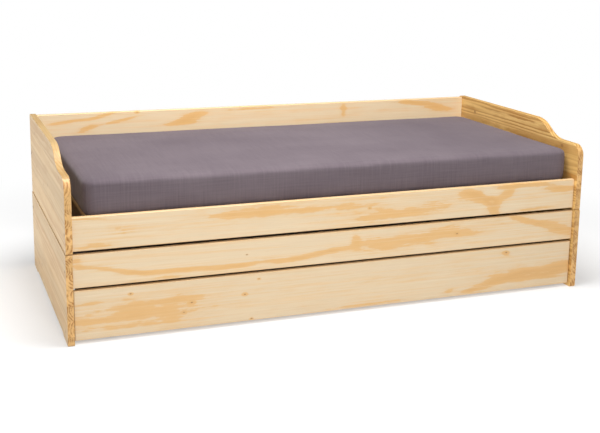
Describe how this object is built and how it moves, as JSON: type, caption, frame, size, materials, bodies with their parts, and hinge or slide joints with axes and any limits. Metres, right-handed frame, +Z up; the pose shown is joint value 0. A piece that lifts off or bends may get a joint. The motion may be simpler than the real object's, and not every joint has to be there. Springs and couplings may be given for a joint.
{
  "type": "trundle bed",
  "caption": "Solid pine single bed stacked on a base frame, with S-curved end panels and a second mattress in a box that rolls out to the front on casters.",
  "frame": {"origin": "on the floor, under the middle of the bed", "axes": "+X along the bed, to the right as seen from the front; -Y is the front, where the trundle comes out; +Z up"},
  "size_m": [2.08, 0.988, 0.664],
  "materials": {
    "front_pine": "satin",
    "end_pine": "satin",
    "carcass_pine": "matte",
    "slat_pine": "matte",
    "beech_dowel": "matte",
    "jersey_sheet": "matte",
    "foam_core": "matte",
    "black_steel": "satin",
    "zinc_steel": "satin",
    "wheel_plastic": "satin"
  },
  "bodies": {
    "bed": {"upper_front_rail": "front_pine", "back_panel": "front_pine", "base_front_rail": "front_pine", "upper_left_end_panel": "end_pine", "upper_right_end_panel": "end_pine", "base_left_end_panel": "end_pine", "base_right_end_panel": "end_pine", "base_rear_rail": "carcass_pine", "upper_front_bearer": "carcass_pine", "upper_rear_bearer": "carcass_pine", "trundle_stop_left": "carcass_pine", "trundle_stop_right": "carcass_pine", "upper_slat_01": "slat_pine", "upper_slat_02": "slat_pine", "upper_slat_03": "slat_pine", "upper_slat_04": "slat_pine", "upper_slat_05": "slat_pine", "upper_slat_06": "slat_pine", "upper_slat_07": "slat_pine", "upper_slat_08": "slat_pine", "upper_slat_09": "slat_pine", "upper_slat_10": "slat_pine", "upper_slat_11": "slat_pine", "upper_slat_12": "slat_pine", "upper_front_left_bolt": "black_steel", "upper_front_right_bolt": "black_steel", "upper_rear_left_bolt": "black_steel", "upper_rear_right_bolt": "black_steel", "base_front_left_bolt": "black_steel", "base_front_right_bolt": "black_steel", "base_rear_left_bolt": "black_steel", "base_rear_right_bolt": "black_steel", "stacking_dowel_front_left": "beech_dowel", "stacking_dowel_front_right": "beech_dowel", "stacking_dowel_rear_left": "beech_dowel", "stacking_dowel_rear_right": "beech_dowel", "upper_mattress": "foam_core", "upper_fitted_sheet": "jersey_sheet"},
    "trundle": {"trundle_front_panel": "front_pine", "trundle_back_board": "carcass_pine", "trundle_left_side": "carcass_pine", "trundle_right_side": "carcass_pine", "trundle_front_bearer": "carcass_pine", "trundle_rear_bearer": "carcass_pine", "trundle_slat_mat": "slat_pine", "trundle_mattress": "foam_core", "trundle_fitted_sheet": "jersey_sheet", "caster_bracket_front_left": "zinc_steel", "caster_bracket_front_right": "zinc_steel", "caster_bracket_rear_left": "zinc_steel", "caster_bracket_rear_right": "zinc_steel", "caster_axle_front_left": "zinc_steel", "caster_axle_front_right": "zinc_steel", "caster_axle_rear_left": "zinc_steel", "caster_axle_rear_right": "zinc_steel"},
    "wheel_front_left": {"caster_wheel_front_left": "wheel_plastic"},
    "wheel_front_right": {"caster_wheel_front_right": "wheel_plastic"},
    "wheel_rear_left": {"caster_wheel_rear_left": "wheel_plastic"},
    "wheel_rear_right": {"caster_wheel_rear_right": "wheel_plastic"}
  },
  "joints": [
    {"name": "trundle_slide", "type": "slide", "parent": "bed", "child": "trundle", "axis": [0, -1, 0], "range_m": [0, 0.95]},
    {"name": "wheel_front_left_spin", "type": "hinge", "parent": "trundle", "child": "wheel_front_left", "pos_m": [-0.88, -0.43, 0.022], "axis": [1, 0, 0], "continuous": true},
    {"name": "wheel_front_right_spin", "type": "hinge", "parent": "trundle", "child": "wheel_front_right", "pos_m": [0.88, -0.43, 0.022], "axis": [1, 0, 0], "continuous": true},
    {"name": "wheel_rear_left_spin", "type": "hinge", "parent": "trundle", "child": "wheel_rear_left", "pos_m": [-0.88, 0.418, 0.022], "axis": [1, 0, 0], "continuous": true},
    {"name": "wheel_rear_right_spin", "type": "hinge", "parent": "trundle", "child": "wheel_rear_right", "pos_m": [0.88, 0.418, 0.022], "axis": [1, 0, 0], "continuous": true}
  ],
  "couplings": [
    {"joint": "wheel_front_left_spin", "follows": "trundle_slide", "rad_per_m": 45.455},
    {"joint": "wheel_front_right_spin", "follows": "trundle_slide", "rad_per_m": 45.455},
    {"joint": "wheel_rear_left_spin", "follows": "trundle_slide", "rad_per_m": 45.455},
    {"joint": "wheel_rear_right_spin", "follows": "trundle_slide", "rad_per_m": 45.455}
  ]
}
